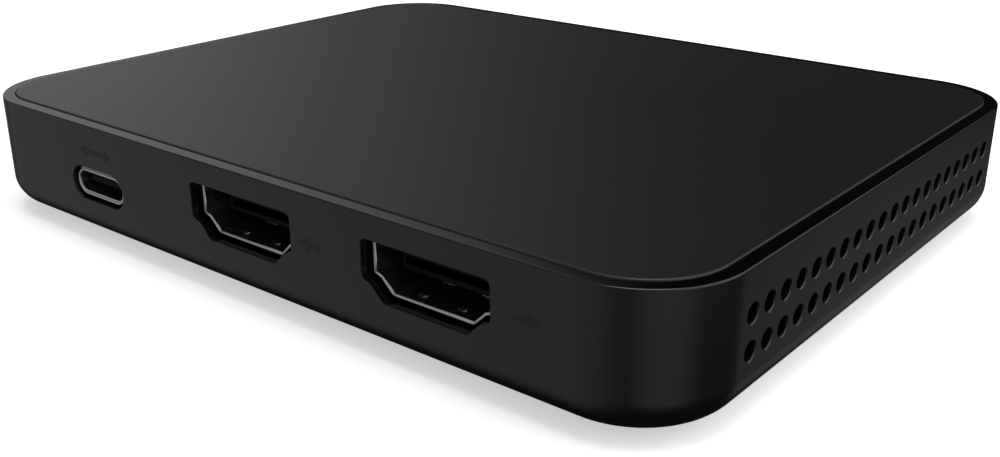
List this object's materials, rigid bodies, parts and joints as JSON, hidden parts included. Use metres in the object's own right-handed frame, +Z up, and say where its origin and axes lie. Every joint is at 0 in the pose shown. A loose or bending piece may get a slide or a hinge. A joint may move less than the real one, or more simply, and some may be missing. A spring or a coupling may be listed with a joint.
{
  "type": "video capture box",
  "caption": "Low near-black box with rounded corners, a matte top inside a gloss rim, display and data sockets in front and vent rows in its sides; records and passes on a video signal.",
  "frame": {"origin": "centre of the footprint, on the surface that the feet stand on", "axes": "+Z up; the face with the sockets looks along -Y; +X runs to the right across that face"},
  "size_m": [0.102, 0.0804, 0.0148],
  "materials": {
    "case_plastic": "satin moulded near-black plastic with a polished rim",
    "cover_plastic": "fine matte moulded near-black plastic",
    "foot_rubber": "matte black rubber",
    "screw_steel": "zinc-plated steel",
    "shell_steel": "nickel-plated stamped steel",
    "insulator_plastic": "black moulded polymer",
    "contact_gold": "gold-plated copper alloy",
    "board_laminate": "green solder mask on glass laminate",
    "chip_epoxy": "black moulded epoxy",
    "sink_aluminium": "black anodised aluminium",
    "pad_silicone": "soft blue-grey silicone",
    "crystal_can": "plated steel can",
    "ferrite_grey": "pressed ferrite",
    "capacitor_ceramic": "tan ceramic and moulded polymer"
  },
  "bodies": {
    "root": {"lower_case": "case_plastic", "top_cover": "cover_plastic", "rubber_feet": "foot_rubber", "cover_screws": "screw_steel", "board_screws": "screw_steel", "display_in_shell": "shell_steel", "display_out_shell": "shell_steel", "data_shell": "shell_steel", "display_in_insulator": "insulator_plastic", "display_out_insulator": "insulator_plastic", "data_insulator": "insulator_plastic", "display_in_contacts": "contact_gold", "display_out_contacts": "contact_gold", "data_contacts": "contact_gold", "main_board": "board_laminate", "capture_processor": "chip_epoxy", "memory_chips": "chip_epoxy", "firmware_flash": "chip_epoxy", "display_receiver": "chip_epoxy", "display_repeater": "chip_epoxy", "data_bridge": "chip_epoxy", "voltage_regulators": "chip_epoxy", "surge_arrays": "chip_epoxy", "chip_resistors": "chip_epoxy", "heat_sink": "sink_aluminium", "thermal_pad": "pad_silicone", "crystals": "crystal_can", "power_inductors": "ferrite_grey", "line_chokes": "ferrite_grey", "bulk_capacitors": "capacitor_ceramic", "ceramic_capacitors": "capacitor_ceramic"}
  },
  "joints": []
}
